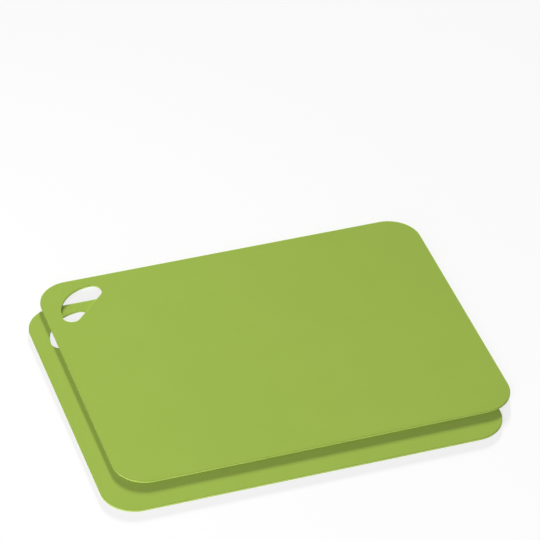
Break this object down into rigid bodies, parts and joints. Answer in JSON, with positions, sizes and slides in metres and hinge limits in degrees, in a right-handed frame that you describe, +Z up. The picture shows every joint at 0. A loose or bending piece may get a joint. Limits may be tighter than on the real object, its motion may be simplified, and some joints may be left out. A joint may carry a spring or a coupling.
{
  "type": "flexible cutting mat",
  "caption": "Flexible cutting mats for the kitchen: thin flat plastic sheets with rounded corners and a half-moon grip hole, lying one on the other, offset.",
  "frame": {"origin": "middle of the footprint of both mats together, on the surface that the lower mat lies on", "axes": "+X along the mats' long side to the right, +Y to the back, towards the edge beside the grip holes, +Z up"},
  "size_m": [0.4, 0.321, 0.0036],
  "materials": {
    "green_plastic": "matte, with a very fine even grain"
  },
  "bodies": {
    "lower_mat": {"lower_mat": "green_plastic"},
    "upper_mat": {"upper_mat": "green_plastic"}
  },
  "joints": [
    {"name": "upper_mat_lift", "type": "slide", "parent": "lower_mat", "child": "upper_mat", "axis": [0, 0, 1], "range_m": [0, 0.2]}
  ]
}
